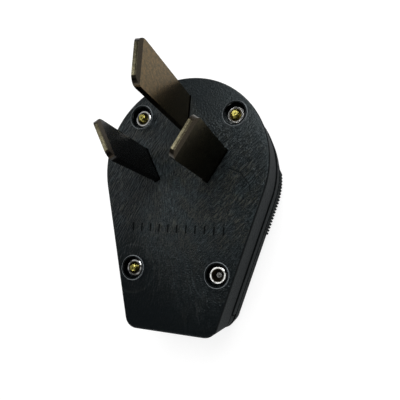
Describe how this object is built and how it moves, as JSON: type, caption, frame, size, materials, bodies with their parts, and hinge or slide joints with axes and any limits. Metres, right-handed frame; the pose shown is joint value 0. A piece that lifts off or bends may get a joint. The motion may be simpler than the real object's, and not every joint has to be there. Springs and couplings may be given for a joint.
{
  "type": "straight-blade angle power plug",
  "caption": "Flat teardrop-shaped angle plug: black two-part housing, flat brass blades standing out of its face, recessed nuts, cord inlet at the narrow end.",
  "frame": {"origin": "middle of the body's length and width, on the flat back that it lies on", "axes": "+Z out of the face along the blades, +Y to the round end, -Y to the cord inlet, +X to the right seen from the face"},
  "size_m": [0.0778, 0.1108, 0.0617],
  "materials": {
    "shell": "satin black moulding, finely scratched",
    "blade": "tarnished brass strip, bright on the cut ends",
    "terminal": "zinc-plated steel",
    "yellow_screw": "yellow zinc-plated steel",
    "nut": "bright zinc-plated steel"
  },
  "bodies": {
    "root": {"front_housing": "shell", "rear_cover": "shell", "neutral_blade": "blade", "left_line_blade": "blade", "right_line_blade": "blade", "neutral_clamp_plate": "terminal", "left_clamp_plate": "terminal", "right_clamp_plate": "terminal", "neutral_terminal_screw": "terminal", "left_terminal_screw": "terminal", "right_terminal_screw": "terminal", "head_left_screw": "yellow_screw", "head_right_screw": "yellow_screw", "foot_left_screw": "yellow_screw", "foot_right_screw": "yellow_screw", "head_left_nut": "nut", "head_right_nut": "nut", "foot_left_nut": "nut", "foot_right_nut": "nut", "cord_strap": "terminal", "left_strap_screw": "terminal", "right_strap_screw": "terminal"}
  },
  "joints": []
}
